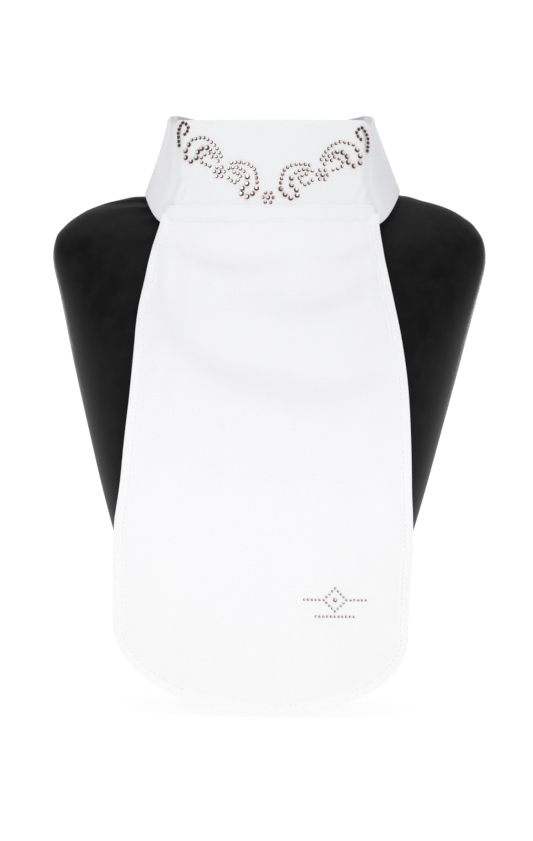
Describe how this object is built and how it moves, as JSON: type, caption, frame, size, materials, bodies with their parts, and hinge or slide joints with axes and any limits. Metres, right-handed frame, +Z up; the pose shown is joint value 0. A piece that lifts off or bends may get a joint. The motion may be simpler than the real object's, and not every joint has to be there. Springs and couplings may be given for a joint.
{
  "type": "stock tie on neck bust",
  "caption": "White riding stock tie with a stand-up collar, rhinestone scroll ornament and a long round-ended bib, worn by a plain black neck bust that stands on its foot",
  "frame": {"origin": "middle of the box that the part fills, on the surface that the bust's foot stands on", "axes": "+Z up along the neck, the bib and the ornament face -Y, +X to the right as seen from the front"},
  "size_m": [0.2432, 0.1394, 0.3329],
  "materials": {
    "bust": "black satin shell with a soft sheen along its edges",
    "collar_cloth": "crisp white fine plain weave, stiffened",
    "bib_cloth": "white fine plain weave with a narrow turned hem",
    "hook_and_loop": "white hook-and-loop tape",
    "rose_stones": "rose champagne cut glass with a foiled back"
  },
  "bodies": {
    "root": {"neck_bust": "bust", "collar_front": "collar_cloth", "neckband_left": "collar_cloth", "neckband_right": "collar_cloth", "closure_pad": "hook_and_loop", "seam_band": "collar_cloth", "bib": "bib_cloth", "stones_lower_scroll_left": "rose_stones", "stones_upper_scroll_left": "rose_stones", "stones_hook_left": "rose_stones", "stones_flower_left": "rose_stones", "stones_lower_scroll_right": "rose_stones", "stones_upper_scroll_right": "rose_stones", "stones_hook_right": "rose_stones", "stones_flower_right": "rose_stones", "stones_flower_middle": "rose_stones"}
  },
  "joints": []
}
